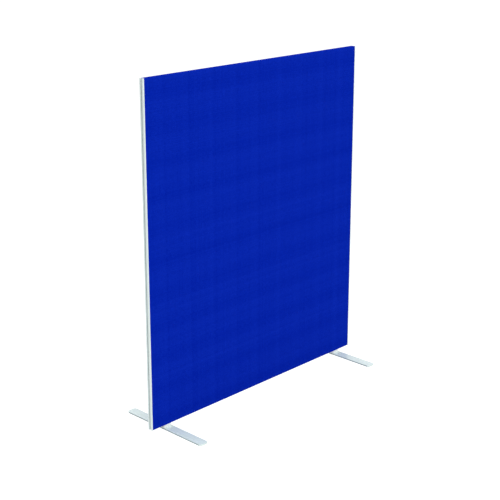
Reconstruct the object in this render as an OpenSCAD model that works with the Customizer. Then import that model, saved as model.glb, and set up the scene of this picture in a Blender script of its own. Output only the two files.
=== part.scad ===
// Floor standing office screen: a framed, cloth-covered panel with grooved
// edge trims, standing on two flat steel feet.
// Millimetres, +Z up. X runs along the screen and Y through its thickness.
// The origin is on the floor, under the middle of the panel.

/* [Screen] */
// Width of the screen over both edge trims
screen_w = 1400; // [900:10:2000]
// Height of the panel from its bottom edge to its top edge
panel_h = 1600; // [1000:10:2000]
// Clear height between the feet and the panel
foot_gap = 15; // [8:1:40]

/* [Timber frame] */
// Thickness of the frame members and of the infill boards
frame_t = 18; // [18:0.5:40]
// Width of each upright stile
stile_w = 45; // [44:1:80]
// Height of the top rail
top_rail_h = 45; // [45:1:90]
// Height of the middle rail
middle_rail_h = 45; // [45:1:90]
// Height of the bottom rail, which holds the threaded inserts
bottom_rail_h = 70; // [66:1:140]
// Gap left all round each infill board
core_gap = 0.5; // [0.2:0.1:2]

/* [Dowels] */
// Diameter of a dowel
dowel_d = 8; // [6:1:10]
// Length of a dowel, half of it in the stile and half in the rail
dowel_l = 50; // [30:2:52]
// Distance between the two dowels of a joint
dowel_pitch = 22; // [16:1:22]
// Distance from the rail's upper edge to the upper dowel
dowel_edge = 11.5; // [9:0.5:14]
// Bevel on the ends of a dowel
dowel_bevel = 1; // [0.5:0.25:2]
// Space left at the bottom of a dowel hole
dowel_end_gap = 1; // [0.5:0.5:2]

/* [Facings and cloth] */
// Thickness of each facing board
facing_t = 2.5; // [2:0.5:6]
// Thickness of the woven cloth
fabric_t = 1; // [0.6:0.1:1.2]
// Width of the hem turned under the bottom edge
hem_w = 8; // [7:0.25:8]
// Depth of the cloth tucked into the kerf
tuck_d = 9; // [6:0.5:11]

/* [Edge trim] */
// How far the trim stands out past the cloth
trim_proud = 5.5; // [5:0.5:10]
// Radius of the trim's two outer edges
trim_r = 1.5; // [0.5:0.25:2.5]
// Width of the linking channel's mouth
channel_mouth = 8; // [6:0.5:10]
// Width of the linking channel behind its lips
channel_w = 13; // [11:0.5:15]
// Thickness of the lips at the channel's mouth
channel_lip = 1.5; // [1:0.25:2]
// Radius of the lips' outer edges
lip_r = 0.5; // [0.25:0.25:0.75]
// Thickness of the channel's floor
channel_floor = 1.4; // [1:0.1:2]
// Wall round the two hollow chambers beside the channel
chamber_wall = 1.2; // [0.8:0.1:1.6]

/* [Trim stem and kerf] */
// Width of the kerf sawn in each stile
kerf_w = 5; // [4.6:0.1:6]
// Depth of the kerf
kerf_d = 13; // [12:0.5:15]
// Thickness of the trim's stem
stem_t = 1.4; // [1:0.1:1.6]
// Length of the stem
stem_l = 11; // [9:0.5:11.5]
// Number of barbs on each side of the stem
barb_n = 3; // [2:1:3]
// Distance from one barb to the next
barb_pitch = 3; // [2.6:0.1:3.2]
// Length of one barb along the stem
barb_l = 2.4; // [1.6:0.1:2.5]
// Flat at the tip of a barb
barb_tip = 0.3; // [0.2:0.1:0.6]
// Clearance between the barbs and the tucked cloth
barb_gap = 0.1; // [0.05:0.05:0.3]
// How far the stem stops short of the trim's two ends
stem_setback = 10; // [5:1:40]

/* [Feet] */
// Length of a foot, front to back
foot_l = 500; // [360:10:700]
// Width of a foot
foot_w = 50; // [46:1:80]
// Thickness of a foot
foot_t = 6; // [6:0.5:10]
// Radius of a foot's corners in plan
foot_r = 15; // [2:1:22]
// Radius of a foot's upper edges
foot_edge_r = 1; // [0.5:0.25:2]
// Distance from the end of the screen to the middle of a foot
foot_inset = 100; // [80:1:400]

/* [Foot fixing] */
// Diameter of the bolts
bolt_d = 8; // [6:1:8]
// Distance between the two bolts of a foot
bolt_pitch = 26; // [22:1:28]
// Diameter of the countersunk bolt head
bolt_head_d = 16; // [14:0.5:16]
// Height of the straight rim under the head's cone
bolt_rim = 0.4; // [0.2:0.1:0.8]
// How far the head sits up inside the underside of the foot
bolt_recess = 0.3; // [0.2:0.1:0.5]
// Width of the hexagon socket across its flats
socket_w = 5; // [4:0.5:5]
// Depth of the hexagon socket
socket_d = 2.6; // [1.5:0.1:3]
// Length of thread that the bolt has in its insert
bolt_engage = 13.3; // [8:0.1:13.5]
// Clearance round the bolts, on the radius
bolt_clear = 0.3; // [0.2:0.05:0.5]
// Outer diameter of a threaded insert
insert_d = 12; // [11:0.5:13]
// Length of a threaded insert
insert_l = 20; // [15:1:24]
// Diameter of the insert's flange
insert_flange_d = 15.5; // [15:0.5:17]
// Thickness of the insert's flange
insert_flange_t = 1.5; // [1:0.25:2]
// Length of a spacer along the screen
spacer_l = 46; // [42:1:46]
// Width of a spacer through the screen
spacer_w = 22; // [19:1:25]

/* [Staples] */
// Distance from one hem staple to the next
staple_pitch = 100; // [50:5:150]
// Distance from the face of the cloth to the row of staples
staple_inset = 5.8; // [5.5:0.1:6.5]
// Length of a staple's crown
staple_w = 10; // [8:0.5:12]
// Length of a staple's legs
staple_leg = 8; // [6:0.5:10]
// Thickness of the staple wire
staple_t = 0.6; // [0.5:0.1:0.8]
// Width of the staple wire
staple_wire_w = 1.2; // [0.8:0.1:1.3]

/* [Hidden] */
$fn = 48;

left = -1;
right = 1;
snug = 0.05;  // radial clearance of a dowel, an insert or a staple leg in its hole
cut = 1;      // overshoot of a tool that leaves the solid it cuts

panel_t = frame_t + 2 * facing_t + 2 * fabric_t;
panel_z = foot_t + foot_gap;
panel_top = panel_z + panel_h;

cover_x = screen_w / 2 - trim_proud;
frame_x = cover_x - fabric_t;
frame_z = panel_z + fabric_t;
frame_h = panel_h - 2 * fabric_t;
frame_top = frame_z + frame_h;
bay_x = frame_x - stile_w;

top_rail_z = frame_top - top_rail_h;
middle_rail_z = (frame_z + bottom_rail_h + top_rail_z - middle_rail_h) / 2;
rail_tops = [frame_top, middle_rail_z + middle_rail_h, frame_z + bottom_rail_h];
dowel_zs = [for (top = rail_tops) for (i = [0, 1]) top - dowel_edge - i * dowel_pitch];

foot_x = screen_w / 2 - foot_inset;
bolt_xs = [foot_x - bolt_pitch / 2, foot_x + bolt_pitch / 2];
bolt_top = frame_z + bolt_engage;

staple_y = panel_t / 2 - staple_inset;
staple_span = bay_x - staple_w;
staple_count = floor(staple_span / staple_pitch);
staple_xs = [
    for (i = [0:staple_count])
        let (x = (i + 0.5) * staple_pitch)
        if (x < staple_span && abs(x - foot_x) > (spacer_l + staple_w) / 2 + 2) x
];

// Repeats a shape made for the right-hand end at the end that is asked for
module at_end(side) {
    mirror([side == left ? 1 : 0, 0, 0]) children();
}

module at_both_ends() {
    for (side = [left, right]) at_end(side) children();
}

// Rectangle about its own centre, with true arcs at its corners
module round_rect(w, h, r) {
    square([w - 2 * r, h], center = true);
    square([w, h - 2 * r], center = true);
    for (sx = [-1, 1], sy = [-1, 1])
        translate([sx * (w / 2 - r), sy * (h / 2 - r)]) circle(r);
}

// Rectangle standing on y = 0, with true arcs at its two upper corners
module round_top(w, h, r) {
    translate([-w / 2, 0]) square([w, h - r]);
    translate([r - w / 2, 0]) square([w - 2 * r, h]);
    for (sx = [-1, 1])
        translate([sx * (w / 2 - r), h - r]) circle(r);
}

// Stands a flat outline up, so that it runs along X
module along_x(length) {
    rotate([90, 0, 90])
        translate([0, 0, -length / 2]) linear_extrude(length) children();
}

// Stands a flat outline up, so that it runs along Y
module along_y(length) {
    rotate([90, 0, 0])
        translate([0, 0, -length / 2]) linear_extrude(length) children();
}

// Timber frame

module dowel_holes() {
    depth = dowel_l / 2 + dowel_end_gap;
    for (z = dowel_zs)
        translate([bay_x, 0, z])
            rotate([0, 90, 0])
                cylinder(h = 2 * depth, r = dowel_d / 2 + snug, center = true);
}

module stile() {
    difference() {
        translate([bay_x, -frame_t / 2, frame_z]) cube([stile_w, frame_t, frame_h]);
        translate([frame_x - kerf_d, -kerf_w / 2, frame_z - cut])
            cube([kerf_d + cut, kerf_w, frame_h + 2 * cut]);
        dowel_holes();
    }
}

module rail(z, h) {
    difference() {
        translate([-bay_x, -frame_t / 2, z]) cube([2 * bay_x, frame_t, h]);
        at_both_ends() dowel_holes();
    }
}

module left_stile() {
    color("burlywood") at_end(left) stile();
}

module right_stile() {
    color("burlywood") at_end(right) stile();
}

module top_rail() {
    color("tan") rail(top_rail_z, top_rail_h);
}

module middle_rail() {
    color("tan") rail(middle_rail_z, middle_rail_h);
}

module bottom_rail() {
    color("tan") difference() {
        rail(frame_z, bottom_rail_h);
        at_both_ends() insert_holes();
        staple_leg_holes();
    }
}

module dowel() {
    straight = dowel_l - 2 * dowel_bevel;
    rotate([0, 90, 0]) {
        cylinder(h = straight, d = dowel_d, center = true);
        for (s = [0, 1]) mirror([0, 0, s])
            translate([0, 0, straight / 2])
                cylinder(h = dowel_bevel, d1 = dowel_d, d2 = dowel_d - 2 * dowel_bevel);
    }
}

module frame_dowels() {
    color("wheat") at_both_ends()
        for (z = dowel_zs) translate([bay_x, 0, z]) dowel();
}

// Infill and facings

module core(z0, z1) {
    w = 2 * (bay_x - core_gap);
    translate([-w / 2, -frame_t / 2, z0 + core_gap]) cube([w, frame_t, z1 - z0 - 2 * core_gap]);
}

module upper_core() {
    color("peru") core(middle_rail_z + middle_rail_h, top_rail_z);
}

module lower_core() {
    color("peru") core(frame_z + bottom_rail_h, middle_rail_z);
}

module facing(side) {
    y = side * (frame_t + facing_t) / 2;
    translate([0, y, frame_z + frame_h / 2]) cube([2 * frame_x, facing_t, frame_h], center = true);
}

module front_facing() {
    color("sienna") facing(-1);
}

module rear_facing() {
    color("sienna") facing(1);
}

// Cloth: front, top, back and ends in one piece, tucked into the kerfs

module cover_outside() {
    intersection() {
        translate([0, 0, panel_z]) linear_extrude(panel_h)
            round_rect(2 * cover_x, panel_t, fabric_t);
        translate([0, 0, panel_z]) along_x(2 * cover_x + 2 * cut)
            round_top(panel_t, panel_h, fabric_t);
    }
}

module cover_inside() {
    translate([0, 0, frame_z + frame_h / 2])
        cube([2 * frame_x, panel_t - 2 * fabric_t, frame_h], center = true);
}

// Opening between the two hems along the bottom edge
module hem_opening() {
    w = panel_t - 2 * hem_w;
    translate([-cover_x - cut, -w / 2, panel_z - cut])
        cube([2 * (cover_x + cut), w, fabric_t + 2 * cut]);
}

// Opening between the two tucked edges at an end of the panel
module tuck_opening() {
    w = kerf_w - 2 * fabric_t;
    translate([frame_x - cut, -w / 2, panel_z - cut])
        cube([fabric_t + 2 * cut, w, panel_h - fabric_t + cut]);
}

module tucks() {
    for (s = [0, 1]) mirror([0, s, 0])
        translate([frame_x - tuck_d, kerf_w / 2 - fabric_t, frame_z])
            cube([tuck_d + fabric_t / 2, fabric_t, frame_h]);
}

module fabric_cover() {
    color("mediumblue") difference() {
        union() {
            difference() {
                cover_outside();
                cover_inside();
                hem_opening();
                at_both_ends() tuck_opening();
            }
            at_both_ends() tucks();
        }
        staple_leg_holes();
    }
}

// Staples along the two hems

module at_staples() {
    for (x = staple_xs, sx = [-1, 1], sy = [-1, 1])
        translate([sx * x, sy * staple_y, panel_z]) children();
}

module staple_legs(clear) {
    for (s = [-1, 1])
        translate([s * (staple_w - staple_t) / 2, 0, staple_leg / 2])
            cube([staple_t + 2 * clear, staple_wire_w + 2 * clear, staple_leg + 2 * clear], center = true);
}

module staple_leg_holes() {
    at_staples() staple_legs(snug);
}

module hem_staples() {
    color("silver") at_staples() translate([0, 0, -staple_t / 2]) {
        cube([staple_w, staple_wire_w, staple_t], center = true);
        staple_legs(0);
    }
}

// Edge trim: a capped, barbed extrusion with an undercut channel.
// Its section is drawn with x outwards from the cloth and y across the panel.

module trim_cap() {
    translate([0, -panel_t / 2]) square([trim_proud - trim_r, panel_t]);
    translate([0, trim_r - panel_t / 2]) square([trim_proud, panel_t - 2 * trim_r]);
    for (s = [-1, 1])
        translate([trim_proud - trim_r, s * (panel_t / 2 - trim_r)]) circle(trim_r);
}

module channel_section() {
    depth = trim_proud - channel_floor;
    translate([channel_floor, -channel_mouth / 2]) square([depth + cut, channel_mouth]);
    translate([channel_floor, -channel_w / 2]) square([depth - channel_lip, channel_w]);
    difference() {
        translate([trim_proud - lip_r, -channel_mouth / 2 - lip_r])
            square([lip_r + cut, channel_mouth + 2 * lip_r]);
        for (s = [-1, 1])
            translate([trim_proud - lip_r, s * (channel_mouth / 2 + lip_r)]) circle(lip_r);
    }
}

module chamber_section() {
    from_y = channel_w / 2 + chamber_wall;
    to_y = panel_t / 2 - chamber_wall;
    for (s = [0, 1]) mirror([0, s])
        translate([chamber_wall, from_y])
            square([trim_proud - 2 * chamber_wall, to_y - from_y]);
}

module barb(reach) {
    polygon([
        [0, 0], [barb_l - barb_tip, reach], [barb_l, reach], [barb_l, 0]
    ]);
}

module stem_section() {
    reach = kerf_w / 2 - fabric_t - barb_gap;
    translate([-stem_l, -stem_t / 2]) square([stem_l + channel_floor / 2, stem_t]);
    for (i = [0:barb_n - 1], s = [0, 1]) mirror([0, s])
        translate([i * barb_pitch - stem_l, 0]) barb(reach);
}

module edge_trim() {
    translate([cover_x, 0, panel_z]) {
        linear_extrude(panel_h) difference() {
            trim_cap();
            channel_section();
            chamber_section();
        }
        translate([0, 0, stem_setback]) linear_extrude(panel_h - 2 * stem_setback) stem_section();
    }
}

module left_edge_trim() {
    color("gainsboro") at_end(left) edge_trim();
}

module right_edge_trim() {
    color("gainsboro") at_end(right) edge_trim();
}

// Feet and their fixings

module bolt_outline(grow) {
    cone = (bolt_head_d - bolt_d) / 2;
    translate([0, 0, bolt_recess]) {
        cylinder(h = bolt_rim, r = bolt_head_d / 2 + grow);
        translate([0, 0, bolt_rim])
            cylinder(h = cone, r1 = bolt_head_d / 2 + grow, r2 = bolt_d / 2 + grow);
    }
}

module foot_bolt() {
    shank_z = bolt_recess + bolt_rim;
    difference() {
        union() {
            bolt_outline(0);
            translate([0, 0, shank_z]) cylinder(h = bolt_top - shank_z, d = bolt_d);
        }
        translate([0, 0, bolt_recess - cut])
            cylinder(h = socket_d + cut, d = socket_w / cos(30), $fn = 6);
    }
}

module foot_bolts() {
    color("dimgray") at_both_ends()
        for (x = bolt_xs) translate([x, 0, 0]) foot_bolt();
}

module foot() {
    difference() {
        intersection() {
            translate([foot_x, 0, 0]) linear_extrude(foot_t) round_rect(foot_w, foot_l, foot_r);
            translate([foot_x, 0, 0]) along_x(foot_w + 2 * cut) round_top(foot_l, foot_t, foot_edge_r);
            translate([foot_x, 0, 0]) along_y(foot_l + 2 * cut) round_top(foot_w, foot_t, foot_edge_r);
        }
        for (x = bolt_xs) translate([x, 0, 0]) {
            bolt_outline(bolt_clear);
            translate([0, 0, -cut])
                cylinder(h = cut + bolt_recess + bolt_rim, r = bolt_head_d / 2 + bolt_clear);
            cylinder(h = foot_t + cut, r = bolt_d / 2 + bolt_clear);
        }
    }
}

module left_foot() {
    color("lightsteelblue") at_end(left) foot();
}

module right_foot() {
    color("lightsteelblue") at_end(right) foot();
}

module spacer() {
    difference() {
        translate([foot_x, 0, foot_t]) linear_extrude(foot_gap) {
            square([spacer_l - spacer_w, spacer_w], center = true);
            for (s = [-1, 1]) translate([s * (spacer_l - spacer_w) / 2, 0]) circle(d = spacer_w);
        }
        for (x = bolt_xs) translate([x, 0, foot_t - cut])
            cylinder(h = foot_gap + 2 * cut, r = bolt_d / 2 + bolt_clear);
    }
}

module left_spacer() {
    color("whitesmoke") at_end(left) spacer();
}

module right_spacer() {
    color("whitesmoke") at_end(right) spacer();
}

// Threads are left out: the insert's bore and the bolt are plain cylinders
module threaded_insert() {
    translate([0, 0, frame_z]) difference() {
        union() {
            cylinder(h = insert_l, d = insert_d);
            cylinder(h = insert_flange_t, d = insert_flange_d);
        }
        translate([0, 0, -cut]) cylinder(h = insert_l + 2 * cut, r = bolt_d / 2 + snug);
    }
}

module insert_holes() {
    for (x = bolt_xs) translate([x, 0, frame_z - cut]) {
        cylinder(h = insert_l + cut + snug, r = insert_d / 2 + snug);
        cylinder(h = insert_flange_t + cut + snug, r = insert_flange_d / 2 + snug);
    }
}

module threaded_inserts() {
    color("goldenrod") at_both_ends()
        for (x = bolt_xs) translate([x, 0, 0]) threaded_insert();
}

left_stile();
right_stile();
top_rail();
middle_rail();
bottom_rail();
frame_dowels();
upper_core();
lower_core();
front_facing();
rear_facing();
fabric_cover();
hem_staples();
left_edge_trim();
right_edge_trim();
left_foot();
right_foot();
left_spacer();
right_spacer();
foot_bolts();
threaded_inserts();
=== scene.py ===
"""Dresses the floor standing screen: its cloth, edge trims, bar feet and fixings.

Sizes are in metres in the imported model's frame: X along the screen, Y from front to back and
Z up from the floor.
"""

import logging
import math
from collections.abc import Iterable, Sequence
from dataclasses import astuple, dataclass
from enum import Enum
from functools import reduce
from itertools import product
from typing import ClassVar, NamedTuple

import bmesh
import bpy
from mathutils import Color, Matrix, Quaternion, Vector, noise
from mathutils.geometry import tessellate_polygon


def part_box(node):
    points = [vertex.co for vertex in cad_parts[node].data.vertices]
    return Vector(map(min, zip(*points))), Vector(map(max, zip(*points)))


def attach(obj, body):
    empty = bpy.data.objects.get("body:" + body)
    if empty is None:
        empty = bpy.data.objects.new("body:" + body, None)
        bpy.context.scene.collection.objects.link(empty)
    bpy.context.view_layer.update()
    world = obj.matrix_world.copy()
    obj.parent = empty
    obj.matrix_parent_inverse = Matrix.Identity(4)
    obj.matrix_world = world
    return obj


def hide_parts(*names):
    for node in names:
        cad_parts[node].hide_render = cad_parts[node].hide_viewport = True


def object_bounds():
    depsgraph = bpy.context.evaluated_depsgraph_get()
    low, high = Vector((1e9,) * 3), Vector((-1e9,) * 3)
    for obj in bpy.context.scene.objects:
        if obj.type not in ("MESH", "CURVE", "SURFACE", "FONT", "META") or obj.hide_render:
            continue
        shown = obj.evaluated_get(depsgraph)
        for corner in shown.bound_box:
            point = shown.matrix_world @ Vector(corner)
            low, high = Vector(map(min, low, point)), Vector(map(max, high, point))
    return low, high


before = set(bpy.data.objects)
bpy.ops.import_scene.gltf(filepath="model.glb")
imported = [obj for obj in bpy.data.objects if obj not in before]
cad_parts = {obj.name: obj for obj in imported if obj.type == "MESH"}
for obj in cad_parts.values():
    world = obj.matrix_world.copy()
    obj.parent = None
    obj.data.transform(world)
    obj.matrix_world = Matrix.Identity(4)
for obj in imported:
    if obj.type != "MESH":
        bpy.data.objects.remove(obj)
CAD_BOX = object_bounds()

MM = 0.001
QUARTER = math.pi / 2
FULL_TURN = 2 * math.pi
HALVES = (-0.5, 0.5)
MERGE = 0.001 * MM
BOLT_PITCH = 26 * MM
COLOUR_LEVELS = 255
MIX_FIRST, MIX_SECOND, MIXED = 6, 7, 2
MAP_ENDS = ("From Min", "From Max", "To Min", "To Max")
BODY = "root"
LOG = logging.getLogger("screen")

Point = tuple[float, float]
Outline = Sequence[Point]
Place = tuple[float, float, float]
Colour = tuple[float, float, float, float]
Socket = bpy.types.NodeSocket
Finish = bpy.types.Material
Mesh = bpy.types.Mesh
Piece = bpy.types.Object
Setting = float | int | bool | Sequence[float] | Socket | Finish
Settings = dict[str | int, Setting]

WHITE: Colour = (1.0, 1.0, 1.0, 1.0)


class Side(Enum):
    """An end of the screen, by the sign of its X."""

    LEFT = -1
    RIGHT = 1

    def node(self, part: str) -> str:
        """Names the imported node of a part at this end."""
        return f"{self.name.lower()}_{part}"


class Axis(Enum):
    """The direction in which a member's grain or an extrusion runs."""

    X = 0
    Y = 1
    Z = 2

    def stretched(self, across: float, along: float) -> Place:
        """Gives a noise scale that differs along this axis, in repeats per metre."""
        return tuple(along if axis is self else across for axis in Axis)


@dataclass(frozen=True)
class Grain:
    """How fine a noise is: repeats per metre, octaves, and the strength of each over the last."""

    scale: Place
    detail: float = 2.0
    rough: float = 0.5


@dataclass(frozen=True)
class Span:
    """A range of values, and what its two ends become."""

    low: float
    high: float
    start: float = 0.0
    end: float = 1.0


def linear(red: float, green: float, blue: float) -> Colour:
    """Turns a colour as it is seen on a screen into Blender's linear one.

    Args:
        red: Red, 0 to 255.
        green: Green, 0 to 255.
        blue: Blue, 0 to 255.

    Returns:
        Linear red, green and blue, and an alpha of 1.
    """
    seen = Color([channel / COLOUR_LEVELS for channel in (red, green, blue)])
    return (*seen.from_srgb_to_scene_linear(), 1.0)


class Graph:
    """Adds nodes to one tree and joins their sockets."""

    def __init__(self, tree: bpy.types.NodeTree) -> None:
        """Takes the shader or geometry tree to fill."""
        self.tree = tree

    def add(self, kind: str, inputs: Settings | None = None, **settings: object) -> bpy.types.Node:
        """Adds one node.

        Args:
            kind: The node's type name.
            inputs: Plain values, or sockets of other nodes, for its inputs by name or number.
            settings: Values for its own properties.

        Returns:
            The node.
        """
        made = self.tree.nodes.new(kind)
        for name, value in settings.items():
            setattr(made, name, value)
        for key, value in (inputs or {}).items():
            if isinstance(value, Socket):
                self.tree.links.new(value, made.inputs[key])
            else:
                made.inputs[key].default_value = value
        return made

    def math(self, operation: str, a: Setting, b: Setting = 0.0, clamp: bool = False) -> Socket:
        """Works out one operation on two values, held between 0 and 1 if it is clamped."""
        made = self.add("ShaderNodeMath", {0: a, 1: b}, operation=operation, use_clamp=clamp)
        return made.outputs[0]

    def times(self, a: Setting, b: Setting) -> Socket:
        """Multiplies two values."""
        return self.math("MULTIPLY", a, b)

    def total(self, *terms: Setting) -> Socket:
        """Adds two or more values together."""
        return reduce(lambda so_far, term: self.math("ADD", so_far, term), terms)

    def vector(self, x: Setting = 0.0, y: Setting = 0.0, z: Setting = 0.0) -> Socket:
        """Puts three values together."""
        return self.add("ShaderNodeCombineXYZ", {0: x, 1: y, 2: z}).outputs[0]

    def parts(self, vector: Socket) -> list[Socket]:
        """Takes the X, Y and Z of a vector apart."""
        return list(self.add("ShaderNodeSeparateXYZ", {0: vector}).outputs)


class Shading(Graph):
    """A material's shader tree, with the few joints that every finish here uses."""

    MIDDLE = 0.5

    def __init__(self, name: str) -> None:
        """Makes the material with an empty tree.

        Args:
            name: The material's name.
        """
        self.material = bpy.data.materials.new(name)
        self.material.use_nodes = True
        self.material.node_tree.nodes.clear()
        super().__init__(self.material.node_tree)
        self.place = self.add("ShaderNodeTexCoord").outputs["Object"]

    def noise(self, grain: Grain, source: Socket | None = None) -> Socket:
        """Adds a noise texture.

        Args:
            grain: How fine it is.
            source: The coordinate, if not the object's own.

        Returns:
            Its value, 0 to 1.
        """
        stretch = {"Vector": source or self.place, "Scale": grain.scale}
        place = self.add("ShaderNodeMapping", stretch).outputs[0]
        inputs = {"Vector": place, "Scale": 1.0, "Detail": grain.detail, "Roughness": grain.rough}
        return self.add("ShaderNodeTexNoise", inputs).outputs[0]

    def spread(self, value: Setting, span: Span) -> Socket:
        """Maps a value from a range to what its ends become, held at both ends."""
        ends = dict(zip(MAP_ENDS, astuple(span)))
        return self.add("ShaderNodeMapRange", {"Value": value, **ends}).outputs[0]

    def blend(self, share: Setting, first: Setting, second: Setting) -> Socket:
        """Mixes two colours by the share of the second, which is held between 0 and 1."""
        inputs = {0: self.math("ADD", share, clamp=True), MIX_FIRST: first, MIX_SECOND: second}
        return self.add("ShaderNodeMix", inputs, data_type="RGBA").outputs[MIXED]

    def swing(self, tone: Socket, width: float) -> Socket:
        """Turns a tone of 0 to 1 into a swing about 0, of a given width."""
        return self.times(self.math("SUBTRACT", tone, self.MIDDLE), width)

    def scaled(self, colour: Socket, factor: Socket) -> Socket:
        """Makes a colour lighter or darker by a factor."""
        inputs = {0: colour, "Scale": factor}
        return self.add("ShaderNodeVectorMath", inputs, operation="SCALE").outputs[0]

    def ramp(self, value: Socket, stops: Sequence[Point]) -> Socket:
        """Draws a curve of grey levels through a few stops.

        Args:
            value: Place along the curve, 0 to 1.
            stops: Place and level of each stop, in order.

        Returns:
            The level.
        """
        made = self.add("ShaderNodeValToRGB", {0: value})
        elements = made.color_ramp.elements
        while len(elements) < len(stops):
            elements.new(self.MIDDLE)
        for element, (at, level) in zip(elements, stops):
            element.position = at
            element.color = (level, level, level, 1.0)
        return made.outputs[0]

    def bump(self, height: Socket, depth: float, share: float = 0.5) -> Socket:
        """Turns a height of 0 to 1 into a normal, by the relief's depth and its share used."""
        inputs = {"Height": height, "Distance": depth, "Strength": share}
        return self.add("ShaderNodeBump", inputs).outputs[0]

    def surface(self, inputs: Settings) -> Finish:
        """Closes the tree with a Principled shader.

        Args:
            inputs: Values or sockets for the shader, by name.

        Returns:
            The finished material.
        """
        shader = self.add("ShaderNodeBsdfPrincipled", inputs)
        self.add("ShaderNodeOutputMaterial", {"Surface": shader.outputs[0]})
        return self.material


@dataclass(frozen=True)
class WovenCloth:
    """Royal-blue plain weave with slubs, and a faint warp stripe and weft bar in every repeat, with
    painted shade between the yarns, painted light on their crowns and painted shade on the narrow
    top edge.
    """

    top: float
    shade: Colour = linear(0.5, 29.4, 160.3)
    light: Colour = linear(10.3, 42.3, 177.2)
    yarn: float = 1.1 * MM
    relief: float = 0.22 * MM
    relief_share: float = 0.8
    dip: Span = Span(0.0, 1.0, 0.55, 1.0)
    # Painted shade and light of the weave: colour darker in the gaps between yarns, lighter on
    # their crowns.
    painted_weave_shade: Span = Span(0.0, 1.0, 0.62, 1.33)
    yarn_spread: float = 0.8
    yarn_seeds: Point = (0.25, 0.75)
    slub_spread: float = 3.6
    slub_length: float = 17 * MM
    slub_width: float = 3 * MM
    slub_detail: float = 3.0
    slub_rough: float = 0.6
    weft_share: float = 0.6
    slub_relief: float = 0.5
    fibre: Grain = Grain((900.0, 900.0, 1.0), 1.0)
    fibre_relief: float = 0.25
    repeat: float = 150 * MM
    bar_level: float = 60 * MM
    stripe_spread: float = 0.235
    bar_spread: float = 0.294
    plain_tone: float = 0.2
    stripe: tuple[Point, ...] = (
        (0.0, 0.1), (0.1, 0.14), (0.3, 0.34), (0.7, 0.32),
        (0.8, 0.74), (0.96, 0.86), (1.0, 0.5),
    )
    bar: tuple[Point, ...] = (
        (0.0, 0.0), (0.08, 0.4), (0.2, 0.62), (0.38, 1.0),
        (0.5, 0.75), (0.6, 1.0), (0.8, 0.5), (1.0, 0.0),
    )
    roughness: Span = Span(0.3, 0.7, 0.88, 0.98)
    gloss: float = 0.01
    sheen: float = 0.01
    sheen_roughness: float = 0.6
    sheen_tint: Colour = linear(30, 70, 220)
    # Painted shade on the narrow top edge: the colour darkens between these heights below the top.
    edge_start: float = 1.1 * MM
    edge_end: float = 0.1 * MM
    top_edge_painted_shade: float = 0.66

    def weave(self, on: Shading, across: Socket, along: Socket) -> tuple[Socket, Socket]:
        """Lays warp over weft and weft over warp, turn about.

        Args:
            on: The tree.
            across: Distance along the weft.
            along: Distance along the warp.

        Returns:
            Height, 0 between the yarns and 1 on their crowns, and the chance tone of the top yarn.
        """
        counts = [on.math("DIVIDE", distance, self.yarn) for distance in (across, along)]
        numbers = [on.math("FLOOR", count) for count in counts]
        crowns = [on.math("SINE", on.times(on.math("FRACT", count), math.pi)) for count in counts]
        warp_on_top = on.math("PINGPONG", on.math("ADD", *numbers), 1.0)
        dips = [on.spread(crown, self.dip) for crown in reversed(crowns)]
        humps = [on.times(crown, dip) for crown, dip in zip(crowns, dips)]
        tones = []
        for number, first in zip(numbers, self.yarn_seeds):
            key = {"W": on.math("ADD", number, first)}
            tones.append(on.add("ShaderNodeTexWhiteNoise", key, noise_dimensions="1D").outputs[0])
        height, tone = (
            on.add("ShaderNodeMix", {0: warp_on_top, 2: weft, 3: warp}).outputs[0]
            for warp, weft in (humps, tones)
        )
        return height, tone

    def stripes(self, on: Shading, across: Socket, along: Socket) -> Socket:
        """Gives the tone of the warp stripe and the weft bar.

        Args:
            on: The tree.
            across: Distance along the weft.
            along: Distance along the warp.

        Returns:
            The tone, about 0.5 on plain cloth.
        """
        counts = [across, on.math("SUBTRACT", along, self.bar_level)]
        stripe, bar = (on.math("FRACT", on.math("DIVIDE", count, self.repeat)) for count in counts)
        return on.total(
            on.times(on.ramp(stripe, self.stripe), self.stripe_spread),
            on.times(on.ramp(bar, self.bar), self.bar_spread),
            self.plain_tone,
        )

    def slubs(self, on: Shading, cut: Socket) -> Socket:
        """Gives the thicker and thinner lengths of both sets of yarn.

        Args:
            on: The tree.
            cut: The cloth's flat coordinate.

        Returns:
            Their tone, about 0.5 on even yarn.
        """
        long_way, short_way = 1 / self.slub_length, 1 / self.slub_width
        weft, warp = (
            on.noise(Grain((*scale, 1.0), self.slub_detail, self.slub_rough), cut)
            for scale in ((long_way, short_way), (short_way, long_way))
        )
        return on.total(on.times(weft, self.weft_share), on.times(warp, 1 - self.weft_share))

    def material(self) -> Finish:
        """Builds the material on the cloth's own flat coordinates.

        Returns:
            The material.
        """
        on = Shading("woven_cloth")
        cut = on.add("ShaderNodeUVMap", uv_map=ClothCover.FLAT_MAP).outputs[0]
        across, along, _ = on.parts(cut)
        height, yarn_tone = self.weave(on, across, along)
        slubs = self.slubs(on, cut)
        tone = on.total(
            self.stripes(on, across, along),
            on.swing(slubs, self.slub_spread),
            on.swing(yarn_tone, self.yarn_spread),
        )
        # Painted shade on the cloth's narrow top edge.
        edge = Span(self.top - self.edge_start, self.top - self.edge_end, 1.0, self.top_edge_painted_shade)
        # depth is painted shade and light: the weave's gaps and crowns, and the darker top edge.
        depth = on.times(on.spread(height, self.painted_weave_shade), on.spread(on.parts(on.place)[2], edge))
        fibres = on.times(on.noise(self.fibre, cut), self.fibre_relief)
        relief = on.total(height, on.times(slubs, self.slub_relief), fibres)
        return on.surface(
            {
                "Base Color": on.scaled(on.blend(tone, self.shade, self.light), depth),
                "Roughness": on.spread(slubs, self.roughness),
                "Specular IOR Level": self.gloss,
                "Sheen Weight": self.sheen,
                "Sheen Roughness": self.sheen_roughness,
                "Sheen Tint": self.sheen_tint,
                "Normal": on.bump(relief, self.relief, self.relief_share),
            }
        )


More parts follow.
